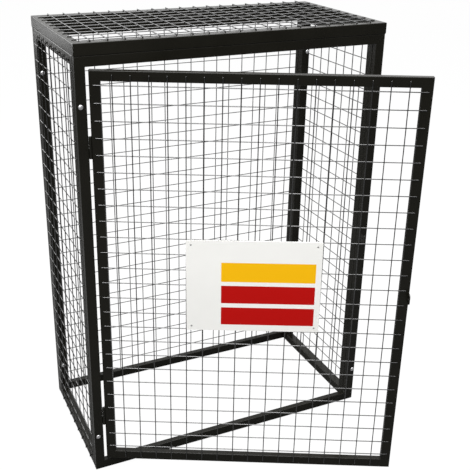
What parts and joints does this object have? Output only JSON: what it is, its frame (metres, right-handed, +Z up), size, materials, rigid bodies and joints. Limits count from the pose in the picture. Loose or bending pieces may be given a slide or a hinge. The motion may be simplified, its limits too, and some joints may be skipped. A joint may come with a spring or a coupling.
{
  "type": "gas cylinder cage",
  "caption": "Upright rectangular cage of welded steel tube and wire mesh, with a mesh lid, a mesh door on lift-off hinges, padlock lugs and a sign plate.",
  "frame": {"origin": "on the floor, under the middle of the front bottom rail: the middle of the width and of the front tube's depth", "axes": "+X to the right along the front as a person facing the door sees it, +Y into the cage from front to back, +Z up; the front with the door faces -Y"},
  "size_m": [1.0114, 0.9444, 1.4107],
  "materials": {
    "black_paint": "satin black powder coat",
    "black_wire": "satin black powder coat",
    "sign_white": "smooth, slightly glossy"
  },
  "bodies": {
    "cage": {"front_left_upright": "black_paint", "front_right_upright": "black_paint", "front_top_rail": "black_paint", "front_bottom_rail": "black_paint", "back_left_upright": "black_paint", "back_right_upright": "black_paint", "back_top_rail": "black_paint", "back_bottom_rail": "black_paint", "left_front_upright": "black_paint", "left_rear_upright": "black_paint", "left_top_rail": "black_paint", "left_bottom_rail": "black_paint", "right_front_upright": "black_paint", "right_rear_upright": "black_paint", "right_top_rail": "black_paint", "right_bottom_rail": "black_paint", "lid_front_rail": "black_paint", "lid_back_rail": "black_paint", "lid_left_rail": "black_paint", "lid_right_rail": "black_paint", "lid_mesh": "black_wire", "left_mesh": "black_wire", "right_mesh": "black_wire", "back_mesh_upper": "black_wire", "back_mesh_lower": "black_wire", "upper_hinge_pin": "black_paint", "lower_hinge_pin": "black_paint", "frame_lock_lug": "black_paint"},
    "door": {"door_hinge_stile": "black_paint", "door_lock_stile": "black_paint", "door_top_rail": "black_paint", "door_bottom_rail": "black_paint", "door_mesh_upper": "black_wire", "door_mesh_lower": "black_wire", "upper_hinge_sleeve": "black_paint", "lower_hinge_sleeve": "black_paint", "door_lock_lug": "black_paint", "sign_plate": "sign_white"}
  },
  "joints": [
    {"name": "door_hinge", "type": "hinge", "parent": "cage", "child": "door", "pos_m": [-0.46675, -0.0115, 0.2], "axis": [0, 0, -1], "range_deg": [-26.5, 93.5]}
  ]
}
